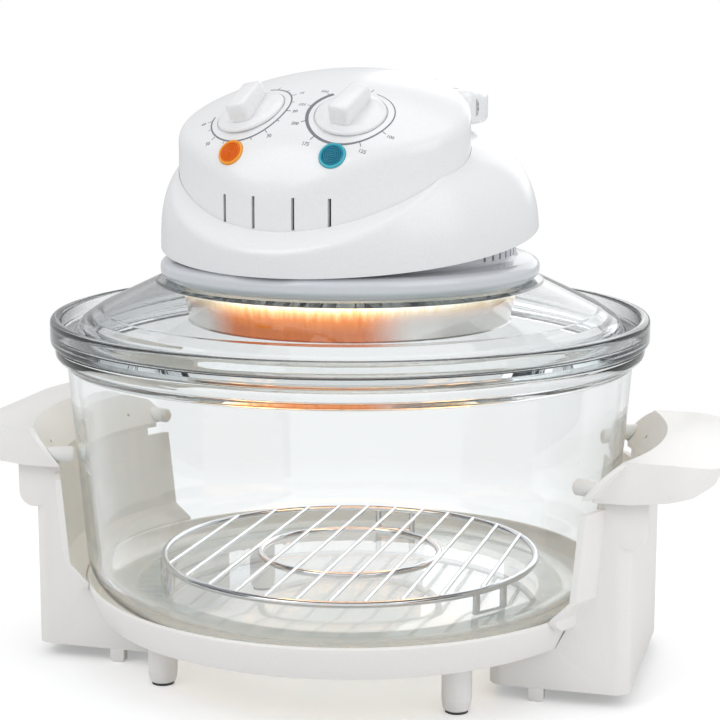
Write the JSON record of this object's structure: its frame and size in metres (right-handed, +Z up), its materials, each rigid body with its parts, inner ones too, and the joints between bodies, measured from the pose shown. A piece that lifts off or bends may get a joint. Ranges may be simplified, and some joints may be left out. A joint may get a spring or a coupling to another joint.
{
  "type": "halogen oven",
  "caption": "Glass bowl oven on a moulded stand, with a glass lid whose head holds a ring lamp, a fan, a timer dial and a heat dial.",
  "frame": {"origin": "under the bowl's axis on the table plane, where the feet stand", "axes": "+Z up, -Y to the front of the stand, +X to the right handle"},
  "size_m": [0.433, 0.34, 0.338],
  "materials": {
    "white_shell": "glossy white moulding",
    "stand_plastic": "satin white moulding",
    "base_grey": "glossy pale grey moulding",
    "clear_glass": "clear tempered glass",
    "silicone": "translucent silicone",
    "pad_rubber": "matte grey rubber",
    "steel": "bright sheet steel",
    "screw_steel": "zinc plated steel",
    "chrome_wire": "polished chrome",
    "fan_aluminium": "pressed aluminium",
    "lamp_glass": "glowing quartz tube",
    "motor_grey": "dark laminations",
    "insulation": "matte fibre board",
    "unit_dark": "matte dark housing",
    "copper_bulb": "bare copper",
    "orange_lens": "orange lens",
    "teal_lens": "teal lens",
    "lamp_neon": "small neon lamp"
  },
  "bodies": {
    "stand": {"base_ring": "stand_plastic", "left_leg": "stand_plastic", "right_leg": "stand_plastic", "left_handle": "stand_plastic", "right_handle": "stand_plastic", "ring_feet": "stand_plastic", "leg_feet": "stand_plastic", "foot_pads": "pad_rubber", "bowl_bumpers": "stand_plastic", "stand_screws": "screw_steel"},
    "bowl": {"glass_bowl": "clear_glass"},
    "rack": {"low_rack": "chrome_wire"},
    "lid": {"glass_lid": "clear_glass", "lid_seal": "silicone", "head_base": "base_grey", "head_housing": "white_shell", "control_panel": "white_shell", "insulation_disc": "insulation", "reflector": "steel", "halogen_lamp": "lamp_glass", "lamp_clips": "steel", "fan_guard": "steel", "motor_bracket": "steel", "motor": "motor_grey", "timer_unit": "unit_dark", "thermostat_unit": "unit_dark", "sensor_bulb": "copper_bulb", "power_lens": "orange_lens", "heat_lens": "teal_lens", "lens_lamps": "lamp_neon", "safety_switch": "unit_dark", "terminal_block": "insulation", "cord_inlet": "unit_dark", "handle_pins": "screw_steel", "head_screws": "screw_steel"},
    "fan": {"fan_shaft": "screw_steel", "circulation_fan": "fan_aluminium", "cooling_fan": "fan_aluminium", "fan_nut": "screw_steel"},
    "handle": {"carrying_handle": "white_shell"},
    "timer_dial": {"timer_knob": "white_shell", "timer_shaft": "screw_steel"},
    "thermostat_dial": {"thermostat_knob": "white_shell", "thermostat_shaft": "screw_steel"},
    "plunger": {"switch_plunger": "unit_dark"}
  },
  "joints": [
    {"name": "bowl_lift", "type": "slide", "parent": "stand", "child": "bowl", "axis": [0, 0, 1], "range_m": [0, 0.14]},
    {"name": "rack_lift", "type": "slide", "parent": "bowl", "child": "rack", "axis": [0, 0, 1], "range_m": [0, 0.115]},
    {"name": "lid_lift", "type": "slide", "parent": "bowl", "child": "lid", "axis": [0, 0, 1], "range_m": [0, 0.15]},
    {"name": "fan_spin", "type": "hinge", "parent": "lid", "child": "fan", "pos_m": [0, 0, 0.2115], "axis": [0, 0, 1], "continuous": true},
    {"name": "handle_fold", "type": "hinge", "parent": "lid", "child": "handle", "pos_m": [0.00261, 0.01477, 0.3165], "axis": [0.9848, -0.1736, 0], "range_deg": [0, 90]},
    {"name": "timer_turn", "type": "hinge", "parent": "lid", "child": "timer_dial", "pos_m": [-0.04031, -0.05585, 0.31607], "axis": [-0.2279, -0.4597, 0.8583], "range_deg": [-300, 0]},
    {"name": "thermostat_turn", "type": "hinge", "parent": "lid", "child": "thermostat_dial", "pos_m": [0.01878, -0.06627, 0.31607], "axis": [0.0569, -0.5099, 0.8583], "range_deg": [-270, 0]},
    {"name": "plunger_slide", "type": "slide", "parent": "lid", "child": "plunger", "axis": [0, 0, 1], "range_m": [0, 0.002]}
  ],
  "couplings": [
    {"joint": "plunger_slide", "follows": "handle_fold", "m_per_rad": 0.0012731}
  ]
}
